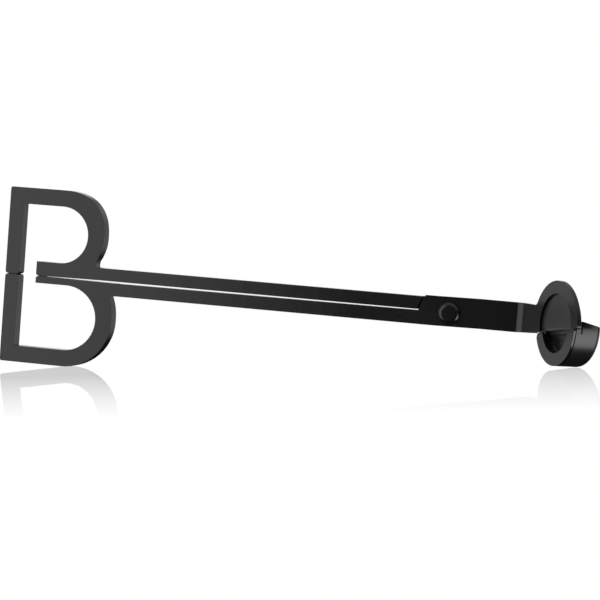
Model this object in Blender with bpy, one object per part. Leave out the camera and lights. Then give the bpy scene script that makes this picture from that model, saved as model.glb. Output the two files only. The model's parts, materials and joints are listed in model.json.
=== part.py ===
"""Wick trimmer: two black-coated steel halves crossed on one rivet, an angled head and two finger loops.

Every piece is drawn in a flat working plane, in millimetres. X runs along the slit between the two arms,
from the finger loops to the head, with 0 at the rivet. Z is across the arms, up. Y is depth, with 0 at the
front faces and growing towards the back. fold() then bends the head forwards, and the stand empty tilts the
trimmer so that it rests on edge on its lower loop and its catch cup.
"""

import math

import bmesh
import bpy
from mathutils import Matrix, Vector

MM = 0.001

# Gaps
FIT_GAP = 0.3  # between a piece and the one that it is fixed to
SEAT_GAP = 0.2  # under thin flush pieces

# Arms
ARM_THICKNESS = 2.7
UPPER_ARM_EDGE = 4.0  # outer edges of the arms, from the middle of the slit
LOWER_ARM_EDGE = 4.2
UPPER_ARM_START_X = -108.2
LOWER_ARM_START_X = -102.8
SLIT_AT_PIVOT = 0.26
SLIT_AT_LOOPS = 0.58
SLIT_AT_TIPS = 0.14
SLIT_LENGTH = 104.0  # from the rivet to where the slit is widest
STEP_CORNER = 0.5  # small chamfer at the tip of each slanted step
SHEET = 1.2  # each arm thins to this where the two cross, and stays so through the head
REAR_LAYER = SHEET + FIT_GAP  # depth of the rear arm's front face, past the crossing

# Pivot
PIVOT_Z = -0.3
RIVET_HEAD_RADIUS = 3.2
RIVET_HEAD_HEIGHT = 1.15
RIVET_DOME = ((0.62, 0), (0.8, 0.1), (0.93, 0.32), (1, 0.7))  # shares of the head's radius and height
RIVET_SHANK_RADIUS = 1.7
RIVET_HOLE_RADIUS = RIVET_SHANK_RADIUS + FIT_GAP
WASHER_RADIUS = 3.4
WASHER_THICKNESS = 0.4
BURR_RADIUS = 2.7
BURR_HEIGHT = 0.9
TAIL_RADIUS = 2.3
TAIL_HEIGHT = 0.6
TAIL_DOME = ((1, 0), (0.9, 0.6), (0.55, 1))
STEP_RADIUS = 8.7  # the sheet part of each arm ends on a slanted line this far from the rivet
SHOULDER_RADIUS = 9.2  # and the other arm's full thickness ends this far from it
STEP_SLANT = math.radians(20.6)

# Sheet strip between the crossing and the head
STRIP_TOP = 4.45
STRIP_BOTTOM = -4.2
STRIP_RISE = 0.2  # the strip runs a little upwards
STRIP_RISE_X = 9.0
STRIP_ROOT_X = -4.0
STRIP_ROOT_RUN = 4.5  # over which an arm's outer edge eases into the strip
NECK_TOP = 4.6
NECK_BOTTOM = -3.4
REAR_INSET = 0.35  # the rear strip is narrower than the front one, which hides it

# Bend
BEND_X = 19.6
BEND_RADIUS = 3.4
BEND_ANGLE = math.radians(54)
BEND_STEPS = 10
BEND_LENGTH = BEND_RADIUS * BEND_ANGLE
NECK_X = BEND_X + BEND_LENGTH + 2

# Head
HEAD_X = 41.0  # ring centre along the unbent sheet
HEAD_Z = -0.4
SPLIT_TURN = math.radians(7.5)  # the split line climbs this much against the arms
SPLIT_DROP = 1.15  # and passes this far below the ring centre
SPLIT_GAP = 0.18
RIM_WIDTH = 3.6
UPPER_RADIUS = 12.7
UPPER_OPENING = UPPER_RADIUS - RIM_WIDTH
NECK_FILLET = 1.5
RING_FOOT = 1.2  # from the ring's circle to its lower left corner
LIP_RADIUS = 11.1
LIP_OPENING = LIP_RADIUS - RIM_WIDTH
LIP_BACK = 0.6
LIP_CORNER = ((2.2, 0), (0.7, 0.45))  # in from the lip's left end, and down from the split line
LIP_CORNER_STEPS = 2  # of the lip's outer arc that its rounded corner takes
LIP_ROOT_RADIUS = 8.2  # the rear sheet reaches this far in behind the lip, to carry it
LIP_ROOT_END = 222  # degrees
CARRIER_OVERLAP = 0.2  # of the block between the lip and the rear sheet, into each
CARRIER_INSET = 0.25
CARRIER_TURNS = (199, 220)  # degrees
RING_LIP = 0.6  # the upper ring is recessed behind to this, and takes the blade
RECESS_GAP = 0.3
UPPER_BLADE_FRONT = RING_LIP + SEAT_GAP
UPPER_BLADE_THICKNESS = 1.55
UPPER_BLADE_RADIUS = 10.9
BLADE_BEVEL = 1.0
BLADE_BEVEL_DEPTH = 0.22
BLADE_EDGE = 0.15  # thickness left at a ground edge
LOWER_BLADE_FRONT = UPPER_BLADE_FRONT + UPPER_BLADE_THICKNESS + 0.35
LOWER_BLADE_THICKNESS = 0.7
LOWER_BLADE_RISE = 1.9  # how far it stands above the split, behind the upper blade
LOWER_BLADE_DROP = 1.0  # and how far it goes below it
LOWER_BLADE_RADIUS = 9.9
LOWER_BLADE_BEVEL = 0.7

# Catch cup
CUP_FRONT = LIP_BACK + FIT_GAP
CUP_BACK = 8.8
CUP_CORNER = 1.7
DISH_RADIUS = 7.75
DISH_FLOOR = 2.8
DISH_CORNER = 0.5
EAR_FRONT = 2.7
EAR_HIGH = 2.0  # the cup's top edge above the split line, at its front
EAR_LOW = 0.5  # and at its back
SLOT_WIDTH = 0.4
SLOT_DEPTH = 1.5
ROOT_CLEARANCE = 1.0  # round the root of the lip, in the cup's side
ROOT_CLEARANCE_TURN = 3  # degrees

# Finger loops
LOOP_THICKNESS = 4.1
SPINE_X = -139.2
SPINE_WIDTH = 4.45
BAR_TIP_X = -129.1
LOOP_STROKE = 5.0
LOOP_TOP = 26.7
LOOP_BOTTOM = -27.0
UPPER_BAR_TOP = 4.4
LOWER_BAR_BOTTOM = -2.2
UPPER_BOWL_X = -121.6
UPPER_BOWL_RIGHT = -107.7
UPPER_OPENING_RIGHT = -113.0
LOWER_BOWL_X = -118.9
LOWER_BOWL_RIGHT = -103.55
LOWER_OPENING_RIGHT = -108.8
FULL_SHOULDER = 2.4  # exponent of the squarer quarters of the bowls; 2 is a plain ellipse
SPINE_SPLIT = 0.14
SPLIT_CORNER = 0.8
OUTER_CORNER = 0.6
ROOT_FILLET = 0.6
TIP_CORNER = 0.75  # rounding of the bar tips beside the slit
BOWL_STEPS = 14
TENON_LENGTH = 4.5
TENON_HEIGHT = 1.5
TENON_THICKNESS = 1.5
TENON_ROOT = 0.6  # how far a tenon starts inside its arm

# Stop peg, which the two bars close on
PEG_X = -127.5
PEG_RADIUS = 0.8
PEG_TOP = -0.05
PEG_BOTTOM = -1.3

EDGE_BEVEL = 0.22
LOOP_BEVEL = 0.42
FINE_BEVEL = 0.12

# Steps on curves, and how far cutters run on
ROUND_STEPS = 40
HOLE_STEPS = 24
CUP_STEPS = 56
HEAD_STEPS = 40
CORNER_STEPS = 5
ROOT_STEPS = 8
CUT_OVER = 1.0
CUT_FAR = 20.0
PAST = 0.03  # how far one cutter runs past another, so that no two of their faces coincide
SAME = 1e-4  # depths closer than this are the same


# ---------------------------------------------------------------- materials and objects


def coated(name, shade, roughness, metallic=0.0):
    """A Principled material for one finish; the shade is a linear grey."""
    mat = bpy.data.materials.new(name)
    mat.use_nodes = True
    shader = mat.node_tree.nodes["Principled BSDF"]
    shader.inputs["Base Color"].default_value = (shade, shade, shade * 1.03, 1)
    shader.inputs["Roughness"].default_value = roughness
    shader.inputs["Metallic"].default_value = metallic
    return mat


def to_metres(bm, parent):
    """Scale a millimetre bmesh, and measure it from its parent empty."""
    bmesh.ops.scale(bm, vec=(MM, MM, MM), verts=bm.verts)
    if parent.parent:
        bmesh.ops.translate(bm, vec=-parent.location, verts=bm.verts)
    bmesh.ops.recalc_face_normals(bm, faces=bm.faces)


def link(name, bm, parent):
    """Make an object of a bmesh under an empty."""
    to_metres(bm, parent)
    mesh = bpy.data.meshes.new(name)
    bm.to_mesh(mesh)
    bm.free()
    obj = bpy.data.objects.new(name, mesh)
    obj.parent = parent
    bpy.context.collection.objects.link(obj)
    return obj


def add_node(name, bm, mat, parent, cut=(), join=(), bevel=EDGE_BEVEL):
    """Make a node: solids to join to it or cut from it stay hidden guides, and its edges are softened."""
    obj = link(name, bm, parent)
    obj.data.shade_smooth()
    obj.data.set_sharp_from_angle(angle=math.radians(35))
    obj.data.materials.append(mat)
    for operation, solids in (("UNION", join), ("DIFFERENCE", cut)):
        for index, solid in enumerate(solids):
            guide = link(f"{name}_{operation.lower()}_{index}", solid, parent)
            guide.hide_render = True
            guide.display_type = "WIRE"
            change = obj.modifiers.new(guide.name, "BOOLEAN")
            change.operation = operation
            change.object = guide
    if bevel:
        soften = obj.modifiers.new("soft edges", "BEVEL")
        soften.width = bevel * MM
        soften.segments = 2
        soften.limit_method = "ANGLE"
        soften.angle_limit = math.radians(40)
    return obj


def add_empty(name, parent=None, location=(0, 0, 0)):
    """An empty that carries pieces."""
    obj = bpy.data.objects.new(name, None)
    obj.parent = parent
    obj.location = location
    bpy.context.collection.objects.link(obj)
    return obj


# ---------------------------------------------------------------- outlines in the (X, Z) plane


def arc(centre, radius, start, end, steps):
    """Points on a circle from start to end degrees, both included."""
    turns = [math.radians(start + (end - start) * i / steps) for i in range(steps + 1)]
    return [(centre[0] + radius * math.cos(a), centre[1] + radius * math.sin(a)) for a in turns]


def quarter(centre, half_width, half_height, start, power=2.0, steps=BOWL_STEPS):
    """A quarter of a superellipse, counterclockwise from start degrees (a multiple of 90)."""
    points = []
    for i in range(steps + 1):
        a = math.radians(start + 90 * i / steps)
        c, s = math.cos(a), math.sin(a)
        points.append((
            centre[0] + half_width * math.copysign(abs(c) ** (2 / power), c),
            centre[1] + half_height * math.copysign(abs(s) ** (2 / power), s),
        ))
    return points


def fillet(before, corner, after, radius, steps=4):
    """Points that round one corner of an outline."""
    here = Vector(corner)
    back = (Vector(before) - here).normalized()
    ahead = (Vector(after) - here).normalized()
    half = back.angle(ahead) / 2
    centre = here + (back + ahead).normalized() * radius / math.sin(half)
    first = here + back * radius / math.tan(half) - centre
    last = here + ahead * radius / math.tan(half) - centre
    return [tuple(centre + first.lerp(last, k / steps).normalized() * radius) for k in range(steps + 1)]


def split_frame(along, above):
    """A point given along and above the split line, from the middle of the head."""
    c, s = math.cos(SPLIT_TURN), math.sin(SPLIT_TURN)
    rise = above - SPLIT_DROP
    return (HEAD_X + along * c - rise * s, HEAD_Z + along * s + rise * c)


def head_arc(radius, above, over, steps):
    """The part of a head circle on one side of a line parallel to the split.

    It runs counterclockwise, over the top from right to left or under the bottom from left to right.
    """
    reach = math.degrees(math.asin((above - SPLIT_DROP) / radius))
    turn = math.degrees(SPLIT_TURN)
    start, end = (reach, 180 - reach) if over else (180 - reach, 360 + reach)
    return arc((HEAD_X, HEAD_Z), radius, start + turn, end + turn, steps)


# ---------------------------------------------------------------- solids


def plate(outline, front, back):
    """A flat piece with the given outline between two depths."""
    bm = bmesh.new()
    corners = [bm.verts.new((x, front, z)) for x, z in outline]
    edges = [bm.edges.new((corners[i - 1], corners[i])) for i in range(len(corners))]
    bmesh.ops.triangle_fill(bm, edges=edges, use_beauty=True, use_dissolve=False)
    grown = bmesh.ops.extrude_face_region(bm, geom=bm.faces[:])
    moved = [v for v in grown["geom"] if isinstance(v, bmesh.types.BMVert)]
    bmesh.ops.translate(bm, vec=(0, back - front, 0), verts=moved)
    bmesh.ops.recalc_face_normals(bm, faces=bm.faces)
    return bm


def thicken(bm, at_depth, to_depth, line_point, line_normal):
    """Grow the face at one depth to another, on the side that the slanted line's normal points away from."""
    point = Vector((line_point[0], 0, line_point[1]))
    normal = Vector((line_normal[0], 0, line_normal[1]))
    everything = bm.verts[:] + bm.edges[:] + bm.faces[:]
    bmesh.ops.bisect_plane(bm, geom=everything, plane_co=point, plane_no=normal)
    chosen = [
        f for f in bm.faces
        if all(abs(v.co.y - at_depth) < SAME for v in f.verts)
        and (f.calc_center_median() - point).dot(normal) < 0
    ]
    grown = bmesh.ops.extrude_face_region(bm, geom=chosen)
    bmesh.ops.delete(bm, geom=chosen, context="FACES")
    moved = [v for v in grown["geom"] if isinstance(v, bmesh.types.BMVert)]
    bmesh.ops.translate(bm, vec=(0, to_depth - at_depth, 0), verts=moved)


def fold(bm):
    """Bend the sheet beyond BEND_X forwards about a line across it."""
    for i in range(BEND_STEPS + 1):
        at = (BEND_X + BEND_LENGTH * i / BEND_STEPS, 0, 0)
        everything = bm.verts[:] + bm.edges[:] + bm.faces[:]
        bmesh.ops.bisect_plane(bm, geom=everything, plane_co=at, plane_no=(1, 0, 0), dist=SAME)
    for v in bm.verts:
        past = v.co.x - BEND_X
        if past <= 0:
            continue
        turned = min(past, BEND_LENGTH) / BEND_RADIUS
        straight = max(past - BEND_LENGTH, 0)
        outwards = BEND_RADIUS + v.co.y
        v.co.x = BEND_X + outwards * math.sin(turned) + straight * math.cos(turned)
        v.co.y = -BEND_RADIUS + outwards * math.cos(turned) - straight * math.sin(turned)
    return bm


def turned(profile, centre, steps=ROUND_STEPS):
    """A solid of revolution about the depth axis: a closed profile of (radius, depth) points.

    The profile starts and ends on the axis.
    """
    bm = bmesh.new()
    rings = []
    for radius, depth in profile:
        if radius == 0:
            rings.append([bm.verts.new((centre[0], depth, centre[1]))])
            continue
        rings.append([
            bm.verts.new((x, depth, z))
            for x, z in arc(centre, radius, 0, 360 * (steps - 1) / steps, steps - 1)
        ])
    for near, far in zip(rings, rings[1:]):
        for i in range(steps):
            corners = [near[i % len(near)], near[(i + 1) % len(near)]]
            corners += [far[(i + 1) % len(far)], far[i % len(far)]]
            bm.faces.new(dict.fromkeys(corners))
    bmesh.ops.recalc_face_normals(bm, faces=bm.faces)
    return bm


def tube(outer, inner, front, back, centre, steps=ROUND_STEPS):
    """A flat washer."""
    bm = bmesh.new()
    loops = [
        [bm.verts.new((x, depth, z)) for x, z in arc(centre, r, 0, 360 * (steps - 1) / steps, steps - 1)]
        for r, depth in ((outer, front), (outer, back), (inner, back), (inner, front))
    ]
    for k in range(4):
        one, other = loops[k], loops[(k + 1) % 4]
        for i in range(steps):
            j = (i + 1) % steps
            bm.faces.new((one[i], one[j], other[j], other[i]))
    bmesh.ops.recalc_face_normals(bm, faces=bm.faces)
    return bm


def sliced(bm, point, normal):
    """Keep what lies behind a plane, and close the cut."""
    everything = bm.verts[:] + bm.edges[:] + bm.faces[:]
    bmesh.ops.bisect_plane(bm, geom=everything, plane_co=point, plane_no=normal, clear_outer=True)
    rim = [e for e in bm.edges if e.is_boundary]
    bmesh.ops.triangle_fill(bm, edges=rim, use_beauty=True)
    bmesh.ops.recalc_face_normals(bm, faces=bm.faces)
    return bm


def box(low, high):
    """A box between two corners."""
    size = [b - a for a, b in zip(low, high)]
    middle = [(a + b) / 2 for a, b in zip(low, high)]
    bm = bmesh.new()
    bmesh.ops.create_cube(bm, size=1, matrix=Matrix.Translation(middle) @ Matrix.Diagonal((*size, 1)))
    return bm


def rod(radius, low, high, x, depth, steps=20):
    """An upright cylinder between two heights."""
    bm = bmesh.new()
    at = Matrix.Translation((x, depth, (low + high) / 2))
    bmesh.ops.create_cone(
        bm, cap_ends=True, segments=steps, radius1=radius, radius2=radius, depth=high - low, matrix=at
    )
    return bm


# ---------------------------------------------------------------- arms


def slit_half(x):
    """Half the slit's width, which widens towards the loops and narrows again between their bars."""
    if x > -SLIT_LENGTH:
        return (SLIT_AT_PIVOT + (SLIT_AT_LOOPS - SLIT_AT_PIVOT) * max(-x / SLIT_LENGTH, 0)) / 2
    share = (x + SLIT_LENGTH) / (BAR_TIP_X + SLIT_LENGTH)
    return (SLIT_AT_LOOPS + (SLIT_AT_TIPS - SLIT_AT_LOOPS) * share) / 2


def slanted(z, side):
    """X of the slanted end of a sheet at a height; side is 1 above the slit and -1 below it."""
    return -(STEP_RADIUS - side * (z - PIVOT_Z) * math.sin(STEP_SLANT)) / math.cos(STEP_SLANT)


def shoulder(side):
    """A point on the slanted shoulder where an arm's full thickness ends, and the way to the head."""
    across = (-math.cos(STEP_SLANT), side * math.sin(STEP_SLANT))
    point = (SHOULDER_RADIUS * across[0], PIVOT_Z + SHOULDER_RADIUS * across[1])
    return point, (-across[0], -across[1])


def tenon(start_x, side, clearance):
    """The tongue at an arm's end, or with a clearance the pocket that takes it."""
    edge = UPPER_ARM_EDGE if side > 0 else LOWER_ARM_EDGE
    height = side * (edge + slit_half(start_x)) / 2
    half_high = TENON_HEIGHT / 2 + clearance
    half_deep = TENON_THICKNESS / 2 + clearance
    depth = ARM_THICKNESS / 2
    return box(
        (start_x - TENON_LENGTH - clearance, depth - half_deep, height - half_high),
        (start_x + TENON_ROOT, depth + half_deep, height + half_high),
    )


def front_arm_outline():
    """Lower arm, crossing up to the upper ring."""
    edge = SPLIT_GAP / 2
    fillet_z = NECK_TOP + NECK_FILLET
    fillet_x = HEAD_X - math.sqrt((UPPER_RADIUS + NECK_FILLET) ** 2 - (fillet_z - HEAD_Z) ** 2)
    meet = math.degrees(math.atan2(fillet_z - HEAD_Z, fillet_x - HEAD_X))
    start = math.degrees(math.asin((edge - SPLIT_DROP) / UPPER_RADIUS) + SPLIT_TURN)
    opening = head_arc(UPPER_OPENING, edge, True, HEAD_STEPS)
    step_low = -slit_half(-STEP_RADIUS)
    step_high = STRIP_TOP - STEP_CORNER
    return [
        (LOWER_ARM_START_X, -LOWER_ARM_EDGE),
        (STRIP_ROOT_X - STRIP_ROOT_RUN, -LOWER_ARM_EDGE),
        (STRIP_ROOT_X, STRIP_BOTTOM),
        (STRIP_RISE_X, STRIP_BOTTOM + STRIP_RISE),
        (BEND_X, STRIP_BOTTOM + STRIP_RISE),
        (NECK_X, (STRIP_BOTTOM + STRIP_RISE + NECK_BOTTOM) / 2),
        (split_frame(-UPPER_RADIUS, 0)[0], NECK_BOTTOM),
        split_frame(RING_FOOT - UPPER_RADIUS, edge),
        *reversed(opening),
        *arc((HEAD_X, HEAD_Z), UPPER_RADIUS, start, meet, HEAD_STEPS),
        *arc((fillet_x, fillet_z), NECK_FILLET, meet - 180, -90, CORNER_STEPS)[1:],
        (STRIP_RISE_X, STRIP_TOP + STRIP_RISE),
        (STRIP_ROOT_X, STRIP_TOP),
        (slanted(step_high, 1) + STEP_CORNER, STRIP_TOP),
        (slanted(step_high, 1), step_high),
        (slanted(step_low, 1), step_low),
        (LOWER_ARM_START_X, -slit_half(LOWER_ARM_START_X)),
    ]


def rear_arm_outline():
    """Upper arm, crossing down behind the front one to the root of the lip."""
    low, high = STRIP_BOTTOM + REAR_INSET, STRIP_TOP - REAR_INSET
    neck_low = NECK_BOTTOM + REAR_INSET
    clear = UPPER_BLADE_RADIUS + FIT_GAP
    outer = LIP_RADIUS - FIT_GAP
    centre = (HEAD_X, HEAD_Z)
    low_turn = 180 - math.degrees(math.asin((neck_low - HEAD_Z) / outer))
    split_turn = 180 + math.degrees(SPLIT_TURN)
    edge = -SPLIT_GAP / 2
    clear_turn = split_turn - math.degrees(math.asin((edge - SPLIT_DROP) / clear))
    root_turn = split_turn - math.degrees(math.asin((edge - SPLIT_DROP) / LIP_ROOT_RADIUS))
    swept_x = math.sqrt(HEAD_X**2 - (high - PIVOT_Z) ** 2) - clear  # clear of the blade as the jaws open
    step_high = slit_half(-STEP_RADIUS)
    step_low = low + STEP_CORNER
    return [
        (UPPER_ARM_START_X, slit_half(UPPER_ARM_START_X)),
        (slanted(step_high, -1), step_high),
        (slanted(step_low, -1), step_low),
        (slanted(step_low, -1) + STEP_CORNER, low),
        (BEND_X, low),
        (NECK_X, neck_low),
        *arc(centre, outer, low_turn, LIP_ROOT_END, ROOT_STEPS),
        *arc(centre, LIP_ROOT_RADIUS, LIP_ROOT_END, root_turn, ROOT_STEPS),
        *arc(centre, clear, clear_turn, 180, ROOT_STEPS),
        (swept_x, high),
        (STRIP_ROOT_X, high),
        (STRIP_ROOT_X - STRIP_ROOT_RUN, UPPER_ARM_EDGE),
        (UPPER_ARM_START_X, UPPER_ARM_EDGE),
    ]


def rivet_hole():
    """The clearance hole through both arms."""
    front, back = -CUT_OVER, ARM_THICKNESS + CUT_OVER
    profile = [(0, front), (RIVET_HOLE_RADIUS, front), (RIVET_HOLE_RADIUS, back), (0, back)]
    return turned(profile, (0, PIVOT_Z), HOLE_STEPS)


def build_arms(steel, root, hinge):
    """Two sheet halves, each thickened to a bar between its loop and the crossing."""
    front = plate(front_arm_outline(), 0, SHEET)
    thicken(front, SHEET, ARM_THICKNESS, *shoulder(-1))
    fold(front)
    wide = UPPER_BLADE_RADIUS + RECESS_GAP
    profile = [(0, RING_LIP), (wide, RING_LIP), (wide, ARM_THICKNESS), (0, ARM_THICKNESS)]
    recess = fold(turned(profile, (HEAD_X, HEAD_Z), CUP_STEPS))
    add_node(
        "front_arm", front, steel, root,
        join=[tenon(LOWER_ARM_START_X, -1, 0)], cut=[rivet_hole(), recess],
    )

    rear = plate(rear_arm_outline(), REAR_LAYER, ARM_THICKNESS)
    thicken(rear, REAR_LAYER, 0, *shoulder(1))
    fold(rear)
    edge = -SPLIT_GAP / 2
    left = -math.sqrt(LIP_RADIUS**2 - (SPLIT_DROP - edge) ** 2)
    lip = [split_frame(left + x, edge - down) for x, down in LIP_CORNER]
    lip += head_arc(LIP_RADIUS, edge, False, HEAD_STEPS)[LIP_CORNER_STEPS:]
    lip += reversed(head_arc(LIP_OPENING, edge, False, HEAD_STEPS))
    first, last = CARRIER_TURNS
    block = arc((HEAD_X, HEAD_Z), LIP_RADIUS - FIT_GAP - CARRIER_INSET, first, last, ROOT_STEPS)
    block += arc((HEAD_X, HEAD_Z), LIP_ROOT_RADIUS + CARRIER_INSET, last, first, ROOT_STEPS)
    carrier = plate(block, LIP_BACK - CARRIER_OVERLAP, REAR_LAYER + CARRIER_OVERLAP)
    add_node(
        "rear_arm", rear, steel, hinge,
        join=[fold(plate(lip, 0, LIP_BACK)), fold(carrier), tenon(UPPER_ARM_START_X, 1, 0)],
        cut=[rivet_hole()],
    )


# ---------------------------------------------------------------- finger loops


def build_upper_loop(steel, hinge):
    """Upper D loop: spine, top bar, bowl and inner bar in one outline, open between spine and bar."""
    inner_top = LOOP_TOP - LOOP_STROKE
    middle = (inner_top + UPPER_BAR_TOP) / 2
    spine_right = SPINE_X + SPINE_WIDTH
    end_x = UPPER_ARM_START_X - FIT_GAP
    centre = (UPPER_BOWL_X, middle)
    opening_wide, opening_high = UPPER_OPENING_RIGHT - UPPER_BOWL_X, inner_top - middle
    opening = quarter(centre, opening_wide, opening_high, 0)[::-1]
    opening += quarter(centre, opening_wide, opening_high, -90)[::-1][1:]
    wide, high = UPPER_BOWL_RIGHT - UPPER_BOWL_X, LOOP_TOP - middle
    edge = UPPER_ARM_EDGE
    under = [p for p in quarter(centre, wide, high, -90) if p[1] > edge + ROOT_FILLET]
    base = SPINE_SPLIT / 2
    slit = slit_half(BAR_TIP_X)
    outline = [
        *fillet((SPINE_X, LOOP_TOP), (SPINE_X, base), (spine_right, base), SPLIT_CORNER),
        *fillet((SPINE_X, base), (spine_right, base), (spine_right, inner_top), SPLIT_CORNER),
        (spine_right, inner_top),
        *opening,
        (BAR_TIP_X, UPPER_BAR_TOP),
        *fillet((BAR_TIP_X, UPPER_BAR_TOP), (BAR_TIP_X, slit), (end_x, slit), TIP_CORNER),
        (end_x, slit_half(end_x)),
        (end_x, edge),
        *fillet((end_x, edge), (under[0][0] - ROOT_FILLET / 4, edge), under[0], ROOT_FILLET)[1:],
        *under,
        *quarter(centre, wide, high, 0, FULL_SHOULDER)[1:],
        *fillet((UPPER_BOWL_X, LOOP_TOP), (SPINE_X, LOOP_TOP), (SPINE_X, base), OUTER_CORNER),
    ]
    add_node(
        "upper_finger_loop", plate(outline, 0, LOOP_THICKNESS), steel, hinge,
        cut=[tenon(UPPER_ARM_START_X, 1, FIT_GAP)], bevel=LOOP_BEVEL,
    )


def build_lower_loop(steel, root):
    """Lower D loop, wider than the upper one, with a blind hole for the stop peg near its bar's tip."""
    inner_bottom = LOOP_BOTTOM + LOOP_STROKE
    middle = (inner_bottom + LOWER_BAR_BOTTOM) / 2
    spine_right = SPINE_X + SPINE_WIDTH
    end_x = LOWER_ARM_START_X - FIT_GAP
    centre = (LOWER_BOWL_X, middle)
    opening_wide, opening_high = LOWER_OPENING_RIGHT - LOWER_BOWL_X, middle - inner_bottom
    opening = quarter(centre, opening_wide, opening_high, -90)
    opening += quarter(centre, opening_wide, opening_high, 0)[1:]
    wide, high = LOWER_BOWL_RIGHT - LOWER_BOWL_X, middle - LOOP_BOTTOM
    edge = -LOWER_ARM_EDGE
    over = [p for p in quarter(centre, wide, high, 0, FULL_SHOULDER) if p[1] < edge - ROOT_FILLET / 2]
    base = -SPINE_SPLIT / 2
    slit = -slit_half(BAR_TIP_X)
    outline = [
        *fillet((spine_right, base), (SPINE_X, base), (SPINE_X, LOOP_BOTTOM), SPLIT_CORNER),
        *fillet((SPINE_X, base), (SPINE_X, LOOP_BOTTOM), (LOWER_BOWL_X, LOOP_BOTTOM), OUTER_CORNER),
        *quarter(centre, wide, high, -90),
        *over[1:],
        *fillet(over[-1], (over[-1][0], edge), (end_x, edge), ROOT_FILLET / 4),
        (end_x, edge),
        (end_x, -slit_half(end_x)),
        *fillet((end_x, slit), (BAR_TIP_X, slit), (BAR_TIP_X, LOWER_BAR_BOTTOM), TIP_CORNER),
        (BAR_TIP_X, LOWER_BAR_BOTTOM),
        *reversed(opening),
        (spine_right, inner_bottom),
        *fillet((spine_right, inner_bottom), (spine_right, base), (SPINE_X, base), SPLIT_CORNER),
    ]
    hole = rod(PEG_RADIUS + FIT_GAP, PEG_BOTTOM - FIT_GAP, 1, PEG_X, LOOP_THICKNESS / 2)
    add_node(
        "lower_finger_loop", plate(outline, 0, LOOP_THICKNESS), steel, root,
        cut=[tenon(LOWER_ARM_START_X, -1, FIT_GAP), hole], bevel=LOOP_BEVEL,
    )


def build_stop_peg(steel, root):
    """The peg that the upper bar closes on."""
    peg = rod(PEG_RADIUS, PEG_BOTTOM, PEG_TOP, PEG_X, LOOP_THICKNESS / 2)
    add_node("stop_peg", peg, steel, root, bevel=FINE_BEVEL)


# ---------------------------------------------------------------- pivot


def build_pivot(steel, root):
    """Shoulder rivet through both arms, with a flat washer and a burr under its tail."""
    centre = (0, PIVOT_Z)
    top = -SEAT_GAP - RIVET_HEAD_HEIGHT
    washer_front = ARM_THICKNESS + FIT_GAP
    burr_front = washer_front + WASHER_THICKNESS + SEAT_GAP
    tail_front = burr_front + BURR_HEIGHT + SEAT_GAP
    tail_back = tail_front + TAIL_HEIGHT
    rivet = [
        (0, top),
        *((RIVET_HEAD_RADIUS * wide, top + RIVET_HEAD_HEIGHT * deep) for wide, deep in RIVET_DOME),
        (RIVET_HEAD_RADIUS, -SEAT_GAP),
        (RIVET_SHANK_RADIUS, -SEAT_GAP),
        (RIVET_SHANK_RADIUS, tail_front),
        *((TAIL_RADIUS * wide, tail_front + TAIL_HEIGHT * deep) for wide, deep in TAIL_DOME),
        (0, tail_back),
    ]
    add_node("pivot_rivet", turned(rivet, centre), steel, root, bevel=0)
    washer = tube(WASHER_RADIUS, RIVET_HOLE_RADIUS, washer_front, washer_front + WASHER_THICKNESS, centre)
    add_node("pivot_washer", washer, steel, root, bevel=0)
    burr = tube(BURR_RADIUS, RIVET_HOLE_RADIUS, burr_front, burr_front + BURR_HEIGHT, centre)
    add_node("rivet_burr", burr, steel, root, bevel=FINE_BEVEL)


# ---------------------------------------------------------------- head


def build_upper_blade(blade_steel, root):
    """Flat blade behind the upper ring, ground to an edge along the split line."""
    edge = SPLIT_GAP / 2
    back = UPPER_BLADE_FRONT + UPPER_BLADE_THICKNESS
    bm = plate(head_arc(UPPER_BLADE_RADIUS, edge, True, HEAD_STEPS), UPPER_BLADE_FRONT, back)
    grind(bm, edge, edge + BLADE_BEVEL, UPPER_BLADE_FRONT, UPPER_BLADE_FRONT + BLADE_BEVEL_DEPTH)
    add_node("upper_blade", fold(bm), blade_steel, root, bevel=0)


def build_lower_blade(blade_steel, hinge):
    """Straight counter blade in the cup's mouth; its top edge slides behind the upper blade."""
    back = LOWER_BLADE_FRONT + LOWER_BLADE_THICKNESS
    low, high = -LOWER_BLADE_DROP, LOWER_BLADE_RISE
    reach = math.sqrt(LOWER_BLADE_RADIUS**2 - (low - SPLIT_DROP) ** 2)
    corners = [(-reach, low), (reach, low), (reach, high), (-reach, high)]
    bm = plate([split_frame(*c) for c in corners], LOWER_BLADE_FRONT, back)
    grind(bm, LOWER_BLADE_RISE, LOWER_BLADE_RISE - LOWER_BLADE_BEVEL, back, LOWER_BLADE_FRONT + BLADE_EDGE)
    add_node("lower_blade", fold(bm), blade_steel, hinge, bevel=0)


def grind(bm, edge, bevel_top, from_depth, to_depth):
    """Slope one face of a blade down to its straight edge; heights are above the split line."""
    start = split_frame(0, bevel_top)
    across = (-math.sin(SPLIT_TURN), 0, math.cos(SPLIT_TURN))
    everything = bm.verts[:] + bm.edges[:] + bm.faces[:]
    bmesh.ops.bisect_plane(bm, geom=everything, plane_co=(start[0], 0, start[1]), plane_no=across)
    foot = split_frame(0, edge)
    for v in bm.verts:
        height = (v.co.x - foot[0]) * across[0] + (v.co.z - foot[1]) * across[2]
        if abs(height) < PAST and abs(v.co.y - from_depth) < SAME:
            v.co.y = to_depth


def split_box(low, high, front, back, far=CUT_FAR):
    """A cutter between two heights above the split line and two depths, this far to either side."""
    corners = [(-far, low), (far, low), (far, high), (-far, high)]
    return plate([split_frame(*c) for c in corners], front, back)


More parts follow.
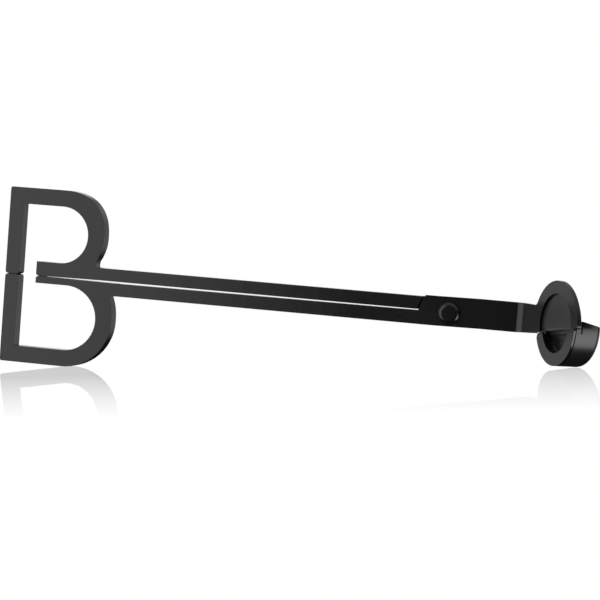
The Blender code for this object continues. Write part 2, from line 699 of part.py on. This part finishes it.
def under_slope(bm):
    """Keep what lies under the cup's slanted top."""
    fall = (EAR_HIGH - EAR_LOW) / (CUP_BACK - EAR_FRONT)
    x, z = split_frame(0, EAR_HIGH)
    normal = Vector((-math.sin(SPLIT_TURN), fall, math.cos(SPLIT_TURN)))
    return sliced(bm, (x, EAR_FRONT, z), normal)


def cup_profile(radius, front, back, corner):
    """A drawn cup's side and rounded floor corner, from its mouth to the axis."""
    turn = [math.radians(90 * i / CORNER_STEPS) for i in range(CORNER_STEPS + 1)]
    rounding = [
        (radius - corner + corner * math.cos(a), back - corner + corner * math.sin(a)) for a in turn
    ]
    return [(0, front), (radius, front), *rounding, (0, back)]


def build_cup(steel, hinge):
    """Half cup behind the lip: a dish in front, a slanted top, ears, and a seat for the lower blade."""
    centre = (HEAD_X, HEAD_Z)
    before = CUP_FRONT - CUT_OVER
    body = under_slope(turned(cup_profile(LIP_RADIUS, CUP_FRONT, CUP_BACK, CUP_CORNER), centre, CUP_STEPS))
    dish = turned(cup_profile(DISH_RADIUS, before, DISH_FLOOR, DISH_CORNER), centre, CUP_STEPS)
    above = split_box(-SPLIT_GAP / 2, CUT_FAR, before, EAR_FRONT)
    slot = split_box(-SLOT_DEPTH, CUT_FAR - PAST, EAR_FRONT - SLOT_WIDTH, EAR_FRONT + PAST)
    blade_back = LOWER_BLADE_FRONT + LOWER_BLADE_THICKNESS + FIT_GAP
    low = -LOWER_BLADE_DROP - SEAT_GAP / 2
    seat = split_box(low, CUT_FAR, EAR_FRONT - PAST, blade_back, LOWER_BLADE_RADIUS + FIT_GAP / 2)
    root_end = LIP_ROOT_END + ROOT_CLEARANCE_TURN
    root_low = arc(centre, LIP_RADIUS + CUT_OVER, 180, root_end, ROOT_STEPS)
    root_in = arc(centre, LIP_ROOT_RADIUS - ROOT_CLEARANCE, root_end, 180, ROOT_STEPS)
    root = plate(root_low + root_in, before, ARM_THICKNESS + FIT_GAP)
    cutters = [fold(bm) for bm in (dish, above, slot, seat, root)]
    add_node("catch_cup", fold(body), steel, hinge, cut=cutters, bevel=0)


# ---------------------------------------------------------------- the whole trimmer


def stand_tilt():
    """The angle at which the lower bowl and the cup's lowest rim touch the same level."""
    bowl_z = (LOOP_BOTTOM + LOOP_STROKE + LOWER_BAR_BOTTOM) / 2
    bowl_radius = bowl_z - LOOP_BOTTOM
    past = HEAD_X - BEND_X - BEND_LENGTH
    outwards = BEND_RADIUS + CUP_BACK - CUP_CORNER
    cup_x = BEND_X + outwards * math.sin(BEND_ANGLE) + past * math.cos(BEND_ANGLE)
    tilt = 0.0
    for _ in range(8):
        wide, high = LIP_RADIUS * math.cos(BEND_ANGLE) * math.sin(tilt), LIP_RADIUS * math.cos(tilt)
        rise = HEAD_Z - bowl_z + (bowl_radius - math.hypot(wide, high)) / math.cos(tilt)
        tilt = math.atan2(rise, cup_x - LOWER_BOWL_X)
    return tilt


def settle(stand):
    """Put the middle of the bounding box's bottom at the origin."""
    bpy.context.view_layer.update()
    graph = bpy.context.evaluated_depsgraph_get()
    corners = []
    for obj in bpy.data.objects:
        if obj.type != "MESH" or obj.hide_render:
            continue
        made = obj.evaluated_get(graph)
        corners += [made.matrix_world @ v.co for v in made.data.vertices]
    lows = [min(c[k] for c in corners) for k in range(3)]
    highs = [max(c[k] for c in corners) for k in range(3)]
    middle = Vector(((lows[0] + highs[0]) / 2, (lows[1] + highs[1]) / 2, lows[2]))
    stand.location -= middle
    bpy.context.view_layer.update()


def main():
    """Build every piece on its empty."""
    for obj in list(bpy.data.objects):
        bpy.data.objects.remove(obj)
    satin = coated("satin black coat", 0.03, 0.42)
    worn = coated("rubbed black coat", 0.04, 0.34, 0.3)
    blade = coated("blackened blade steel", 0.05, 0.3, 0.6)
    stand = add_empty("stand")
    stand.rotation_euler = (0, stand_tilt(), 0)
    hinge = add_empty("pivot_axis", stand, (0, 0, PIVOT_Z * MM))
    build_arms(satin, stand, hinge)
    build_upper_loop(satin, hinge)
    build_lower_loop(satin, stand)
    build_stop_peg(worn, stand)
    build_pivot(worn, stand)
    build_upper_blade(blade, stand)
    build_lower_blade(blade, hinge)
    build_cup(satin, hinge)
    settle(stand)


main()
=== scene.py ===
"""Looks of a wick trimmer: satin black coat, blackened blades, a glossy table top and soft lights.

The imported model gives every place. The working plane below is the trimmer's own: X along the slit
between the arms, from the finger loops to the head, with 0 at the rivet; Y is depth, growing from the
front faces to the back; Z is across the arms. Lengths in it are in millimetres.
"""

import json
import math

import bmesh
import bpy
from mathutils import Matrix, Vector


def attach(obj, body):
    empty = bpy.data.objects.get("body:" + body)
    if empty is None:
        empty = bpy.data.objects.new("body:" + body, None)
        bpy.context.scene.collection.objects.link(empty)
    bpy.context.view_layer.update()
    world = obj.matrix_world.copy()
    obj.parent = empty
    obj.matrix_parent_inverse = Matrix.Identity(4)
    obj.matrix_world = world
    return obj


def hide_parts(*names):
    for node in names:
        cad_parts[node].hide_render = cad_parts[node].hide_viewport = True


MM = 0.001
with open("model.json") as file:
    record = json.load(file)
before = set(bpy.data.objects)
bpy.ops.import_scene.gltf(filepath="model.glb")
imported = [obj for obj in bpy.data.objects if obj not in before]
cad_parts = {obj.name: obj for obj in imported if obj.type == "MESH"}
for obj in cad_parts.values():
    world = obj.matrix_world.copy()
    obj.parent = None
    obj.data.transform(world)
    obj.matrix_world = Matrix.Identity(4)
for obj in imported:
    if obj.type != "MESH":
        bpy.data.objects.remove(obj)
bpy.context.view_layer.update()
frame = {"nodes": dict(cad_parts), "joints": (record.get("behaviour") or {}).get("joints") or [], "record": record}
PIVOT = Vector(frame["joints"][0]["pos_m"])

# Working plane
TILT = math.radians(5.633)
ARM_MIDDLE = 1.35  # depth of the pivot point
PIVOT_Z = -0.3
ARM_THICKNESS = 2.7

# Camera, measured from the pivot, in metres
CAMERA_FROM_PIVOT = Vector((0.11059, -0.57162, 0.01799))
CAMERA_TURN = [math.radians(a) for a in (88.685, 1.09, 15.207)]
CAMERA_LENS = 120
SENSOR = 36

# Clean copies of the CAD nodes
WELD = 2e-6  # metres
FLAT_ENOUGH = math.radians(0.6)  # neighbours flatter than this become one face
SHARP_EDGE = math.radians(50)
SHARP_BOX_EDGE = math.radians(30)
LARGEST_FACE_LEADS = 100  # weight of the largest face in the shaded normals

# Black coat: noise scales per metre, bump strengths and heights in metres
COAT_SHADE = 0.008
COAT_CLOUDS = 55.0
COAT_WAVES = 300.0
COAT_PEEL = 2600.0
COAT_TONE_CHANGE = 0.12
COAT_BLUE = 1.03  # share of blue over red and green
COAT_GLOSS_CHANGE = 0.06
PEEL_BUMP = (0.06, 0.00006)
WAVE_BUMP = (0.04, 0.0003)
PLAIN_SPECULAR = 0.5

# Blade steel
STEEL_LINES = (5000.0, 5000.0, 220.0)
STEEL_CLOUDS = 90.0
STEEL_TONE_CHANGE = 0.15
STEEL_BUMP = (0.12, 0.00005)

# Seams between arms and finger loops: name, body, place along X, and the lower and upper edges
SEAMS = (
    ("upper_braze", "upper_half", -108.35, 0.27, 4.02),
    ("lower_braze", "lower_half", -102.95, -4.22, -0.27),
)
SLEEVE_HALF = 0.65
SLEEVE_PROUD = 0.02
SLEEVE_BEVEL = 0.06

# Dark matt sheets in the gaps where the closed halves meet, painted shade for the dark line there: name, body, and
# two corners in the working plane
GAP_SHADE_SHEETS = (
    ("spine_split_shade", "lower_half", (-138.3, 0.2, -0.075), (-135.7, 3.9, 0.03)),
    ("bar_tip_shade", "lower_half", (-128.3, 0.2, -0.09), (-125.6, 0.9, 0.03)),
)
# Bevel and tone of the painted gap shade sheets; the tone is darker than the coat
GAP_SHEET_BEVEL = 0.01
GAP_SHEET_TONE = 0.006

# Lights: name, place, aim, size (metres) and power
LIGHTS = (
    ("table beside the cup", (0.27, -0.09, -0.105), (0.09, 0, 0.01), (0.2, 0.2), 0.47),
)

# Soft bright patches of the room: direction, full inside and nothing outside these degrees, strength, and
# the side of the horizon that it keeps to: 1 above, -1 below, 0 both
PATCHES = (
    ((-0.26, 0.96, 0.09), 11, 15, 1.0, 1),  # white wall behind, above the table that mirrors it
    ((-0.707, -0.707, 0.08), 27, 29.5, 1.5, 0),  # front left box, mirrored by the loops
    ((-0.978, 0.208, 0.07), 14, 28, 0.65, 0),  # left wall, mirrored by the head
    ((-0.70, 0.60, -0.42), 10, 24, 0.6, 0),  # table top at the left, mirrored by the blade's bevel
    ((0.42, 0.90, 0.10), 14, 30, 0.4, 0),  # right part of the back wall, mirrored by the bowls' sides
    ((0.68, 0.68, -0.26), 10, 26, 0.7, 0),  # table top at the back, mirrored by the back faces
)
HORIZON = 0.03  # softness of the edge between the table top and the room
ROOM_SPAN = (0.1, 0.7)  # heights between which the room grows lighter
ROOM_LIGHT = (0.01, 0.6)  # its light below and above them

# Table top
TABLE_SIZE = 4.0
TABLE_DROP = 0.00005  # below the lowest point of the object
TABLE_ROUGHNESS = 0.02
TOWARDS_CAMERA = (0.2627, -0.9646, 0)
GLOSS_SPAN = (-0.2, 0.2)  # metres in front of the origin
GLOSS_STOPS = ((0.2, 0.0), (0.42, 0.4), (0.55, 0.4), (0.92, 0.0))  # place in the span, share of gloss


# ---------------------------------------------------------------- nodes of materials


class Tree:
    """A short way to write a node tree."""

    def __init__(self, owner):
        owner.use_nodes = True
        self.tree = owner.node_tree
        self.tree.nodes.clear()

    def add(self, kind, settings=(), **inputs):
        """A node, with its settings and inputs. An input is named, or numbered as i0, i1 and so on."""
        node = self.tree.nodes.new("ShaderNode" + kind)
        for key, value in dict(settings).items():
            setattr(node, key, value)
        for key, value in inputs.items():
            socket = node.inputs[int(key[1:]) if key[1:].isdigit() else key.replace("_", " ")]
            if isinstance(value, bpy.types.NodeSocket):
                self.tree.links.new(value, socket)
            else:
                socket.default_value = value
        return node

    def ramp(self, factor, *stops):
        """A colour ramp through stops of a place and a shade, which is grey or red, green and blue."""
        node = self.add("ValToRGB", Fac=factor)
        elements = node.color_ramp.elements
        while len(elements) < len(stops):
            elements.new(0.5)
        for element, (place, shade) in zip(elements, stops):
            element.position = place
            element.color = (*shade, 1) if isinstance(shade, tuple) else (shade, shade, shade, 1)
        return node.outputs["Color"]

    def span(self, value, low, high, to_low=0.0, to_high=1.0):
        """A value's place between low and high, moved to between to_low and to_high."""
        node = self.add("MapRange", i0=value, i1=low, i2=high, i3=to_low, i4=to_high)
        return node.outputs["Result"]

    def output(self, shader, kind="OutputMaterial"):
        """The end of the tree."""
        self.add(kind, Surface=shader)


def bump(t, height, amount, below=None):
    """A bump of a strength and a height in metres, over another one where there is one."""
    strength, distance = amount
    extra = {} if below is None else {"Normal": below}
    return t.add("Bump", Height=height, Strength=strength, Distance=distance, **extra).outputs["Normal"]


def coat(name, shade, roughness, grain=1.0, sheen=1.0):
    """Thin satin black coat with fine orange peel and a soft cloudy change of tone and gloss."""
    mat = bpy.data.materials.new(name)
    t = Tree(mat)
    place = t.add("TexCoord").outputs["Object"]
    peel = t.add("TexNoise", Vector=place, Scale=COAT_PEEL, Detail=3.0, Roughness=0.55).outputs["Fac"]
    waves = t.add("TexNoise", Vector=place, Scale=COAT_WAVES, Detail=2.0, Roughness=0.5).outputs["Fac"]
    cloud = t.add("TexNoise", Vector=place, Scale=COAT_CLOUDS, Detail=4.0, Roughness=0.6).outputs["Fac"]
    low, high = shade * (1 - COAT_TONE_CHANGE), shade * (1 + COAT_TONE_CHANGE)
    tone = t.ramp(cloud, (0.35, (low, low, low * COAT_BLUE)), (0.65, (high, high, high * COAT_BLUE)))
    gloss = t.span(cloud, 0, 1, roughness - COAT_GLOSS_CHANGE / 2, roughness + COAT_GLOSS_CHANGE / 2)
    fine = bump(t, peel, (PEEL_BUMP[0] * grain, PEEL_BUMP[1]))
    soft = bump(t, waves, (WAVE_BUMP[0] * grain, WAVE_BUMP[1]), fine)
    shader = t.add("BsdfPrincipled", Base_Color=tone, Roughness=gloss, Normal=soft)
    shader.inputs["Specular IOR Level"].default_value = PLAIN_SPECULAR * sheen
    t.output(shader.outputs["BSDF"])
    return mat


def ground_steel(name, shade, roughness):
    """Blackened blade steel with fine straight grinding lines."""
    mat = bpy.data.materials.new(name)
    t = Tree(mat)
    place = t.add("TexCoord").outputs["Object"]
    turned = t.add("Mapping", Vector=place, Rotation=(0, TILT, 0), Scale=STEEL_LINES)
    lines = t.add("TexNoise", Vector=turned.outputs["Vector"], Scale=1.0, Detail=3.0).outputs["Fac"]
    cloud = t.add("TexNoise", Vector=place, Scale=STEEL_CLOUDS, Detail=3.0).outputs["Fac"]
    low, high = shade * (1 - STEEL_TONE_CHANGE), shade * (1 + STEEL_TONE_CHANGE)
    tone = t.ramp(cloud, (0.3, low), (0.7, high))
    gloss = t.span(lines, 0, 1, roughness - 0.05, roughness + 0.07)
    ground = bump(t, lines, STEEL_BUMP)
    shader = t.add("BsdfPrincipled", Base_Color=tone, Roughness=gloss, Metallic=0.8, Normal=ground)
    t.output(shader.outputs["BSDF"])
    return mat


# ---------------------------------------------------------------- pieces


def refined(node, body, mat):
    """A clean copy of a CAD node, with its flat faces whole and its rounded edges shaded smoothly."""
    source = frame["nodes"][node]
    bm = bmesh.new()
    bm.from_mesh(source.data)
    bmesh.ops.remove_doubles(bm, verts=bm.verts, dist=WELD)
    bmesh.ops.dissolve_limit(bm, angle_limit=FLAT_ENOUGH, verts=bm.verts, edges=bm.edges)
    bmesh.ops.recalc_face_normals(bm, faces=bm.faces)
    mesh = bpy.data.meshes.new(node + "_coated")
    bm.to_mesh(mesh)
    bm.free()
    mesh.shade_smooth()
    mesh.set_sharp_from_angle(angle=SHARP_EDGE)
    piece = bpy.data.objects.new(node + "_coated", mesh)
    bpy.context.scene.collection.objects.link(piece)
    piece.data.materials.append(mat)
    weigh = piece.modifiers.new("flat faces stay flat", "WEIGHTED_NORMAL")
    weigh.keep_sharp = True
    weigh.weight = LARGEST_FACE_LEADS
    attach(piece, body)
    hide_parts(node)
    return piece


def plain_box(low, high, bevel):
    """A box in the working plane with softened edges, as a mesh in place."""
    bm = bmesh.new()
    bmesh.ops.create_cube(bm, size=1)
    for v in bm.verts:
        v.co = Vector(low[k] if v.co[k] < 0 else high[k] for k in range(3))
    bmesh.ops.bevel(bm, geom=bm.edges[:], offset=bevel, segments=2, affect="EDGES")
    return bm


def place(name, bm, body, slot, mat):
    """Put a working-plane bmesh in its place in the frame, riding on a body."""
    turn = Matrix.Rotation(TILT, 3, "Y")
    origin = Vector((0, ARM_MIDDLE, PIVOT_Z))
    for v in bm.verts:
        v.co = PIVOT + turn @ (v.co - origin) * MM
    bmesh.ops.recalc_face_normals(bm, faces=bm.faces)
    mesh = bpy.data.meshes.new(name)
    bm.to_mesh(mesh)
    bm.free()
    mesh.shade_smooth()
    mesh.set_sharp_from_angle(angle=SHARP_BOX_EDGE)
    piece = bpy.data.objects.new(name, mesh)
    bpy.context.scene.collection.objects.link(piece)
    mesh.materials.append(mat)
    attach(piece, body)
    return piece


def paint_gap_shade(mat):
    """Dark matt sheets in the gaps where the closed halves touch, painted shade: between the spines and between
    the bars' tips.
    """
    for name, body, low, high in GAP_SHADE_SHEETS:
        place(name, plain_box(low, high, GAP_SHEET_BEVEL), body, "rubbed_coat", mat)


def braze_sleeves(mat):
    """Coated braze that closes the seam between each arm and its finger loop, a hair proud of both."""
    for name, body, seam, low, high in SEAMS:
        bm = plain_box((seam - SLEEVE_HALF, -SLEEVE_PROUD, low), (
            seam + SLEEVE_HALF, ARM_THICKNESS + SLEEVE_PROUD, high), SLEEVE_BEVEL)
        place(name, bm, body, "black_coat", mat)


# ---------------------------------------------------------------- surroundings


def area_light(name, at, aim, size, power):
    """A soft box at a place, facing a point."""
    data = bpy.data.lights.new(name, "AREA")
    data.shape = "RECTANGLE"
    data.size, data.size_y = size
    data.energy = power
    lamp = bpy.data.objects.new(name, data)
    bpy.context.scene.collection.objects.link(lamp)
    lamp.location = at
    lamp.visible_camera = False
    lamp.rotation_euler = (Vector(aim) - Vector(at)).to_track_quat("-Z", "Y").to_euler()
    return lamp


def build_world():
    """A white backdrop for the camera; for everything else a dim room with soft bright patches."""
    world = bpy.data.worlds.new("studio")
    bpy.context.scene.world = world
    t = Tree(world)
    way = t.add("TexCoord").outputs["Generated"]
    height = t.add("SeparateXYZ", Vector=way).outputs["Z"]
    total = t.span(height, *ROOM_SPAN, *ROOM_LIGHT)
    for towards, inner, outer, strength, side in PATCHES:
        aim = Vector(towards).normalized()
        near = t.add("VectorMath", {"operation": "DOT_PRODUCT"}, i0=way, i1=aim).outputs["Value"]
        glow = t.add(
            "MapRange", {"interpolation_type": "SMOOTHSTEP"}, i0=near, i1=math.cos(math.radians(outer)),
            i2=math.cos(math.radians(inner)), i3=0.0, i4=strength,
        ).outputs["Result"]
        if side:
            share = t.span(height, 0.0, side * HORIZON)
            glow = t.add("Math", {"operation": "MULTIPLY"}, i0=glow, i1=share).outputs["Value"]
        total = t.add("Math", {"operation": "ADD"}, i0=total, i1=glow).outputs["Value"]
    seen = t.add("LightPath").outputs["Is Camera Ray"]
    both = t.add("Mix", i0=seen, i2=total, i3=1.0).outputs["Result"]
    back = t.add("Background", Color=(1, 1, 1, 1), Strength=both)
    t.output(back.outputs["Background"], "OutputWorld")


def build_floor():
    """Clear table top before the white backdrop, with a gloss that fades towards the camera.

    Only the camera sees it, so the undersides of the object stay dark.
    """
    mesh = bpy.data.meshes.new("floor")
    bm = bmesh.new()
    bmesh.ops.create_grid(bm, x_segments=1, y_segments=1, size=TABLE_SIZE)
    bm.to_mesh(mesh)
    bm.free()
    floor = bpy.data.objects.new("floor", mesh)
    floor.location = (0, 0, -TABLE_DROP)
    floor.visible_diffuse = floor.visible_glossy = floor.visible_shadow = False
    bpy.context.scene.collection.objects.link(floor)
    mat = bpy.data.materials.new("white table top")
    t = Tree(mat)
    place_on = t.add("TexCoord").outputs["Object"]
    nearer = t.add(
        "VectorMath", {"operation": "DOT_PRODUCT"}, i0=place_on, i1=TOWARDS_CAMERA).outputs["Value"]
    along = t.span(nearer, *GLOSS_SPAN)
    share = t.ramp(along, *GLOSS_STOPS)
    clear = t.add("BsdfTransparent", Color=(1, 1, 1, 1))  # shows the backdrop, and a cup that swings low
    gloss = t.add("BsdfGlossy", Color=(1, 1, 1, 1), Roughness=TABLE_ROUGHNESS)
    both = t.add("MixShader", i0=share, i1=clear.outputs["BSDF"], i2=gloss.outputs["BSDF"])
    t.output(both.outputs["Shader"])
    floor.data.materials.append(mat)


def build_camera():
    data = bpy.data.cameras.new("camera")
    data.lens = CAMERA_LENS
    data.sensor_width = SENSOR
    data.clip_start, data.clip_end = 0.01, 20
    camera = bpy.data.objects.new("camera", data)
    camera.location = PIVOT + CAMERA_FROM_PIVOT
    camera.rotation_euler = CAMERA_TURN
    bpy.context.scene.collection.objects.link(camera)
    bpy.context.scene.camera = camera


def main():
    bpy.context.scene.view_settings.view_transform = "Standard"
    black = coat("satin black coat", COAT_SHADE, 0.19)
    rubbed = coat("rubbed black coat", COAT_SHADE, 0.17, grain=0.5)
    pressed = coat("duller coat of the pressed cup", COAT_SHADE, 0.32)
    # dark matt coat of the sheets that paint shade into the gaps between the closed halves
    gap_dark_coat = coat("matt black of the painted gap shade", GAP_SHEET_TONE, 0.9, sheen=0.1)
    blade = ground_steel("blackened blade steel", 0.09, 0.36)
    finish = {"black_coat": black, "rubbed_coat": rubbed, "blade_steel": blade}
    slots = {s["node"]: s["material_slot"] for s in frame["record"]["subparts"]}
    for body, nodes in frame["record"]["behaviour"]["bodies"].items():
        for node in nodes:
            refined(node, body, pressed if node == "catch_cup" else finish[slots[node]])
    braze_sleeves(black)
    # painted shade: dark sheets in the gaps between the closed halves
    paint_gap_shade(gap_dark_coat)
    build_camera()
    build_world()
    build_floor()
    for light in LIGHTS:
        area_light(*light)


main()
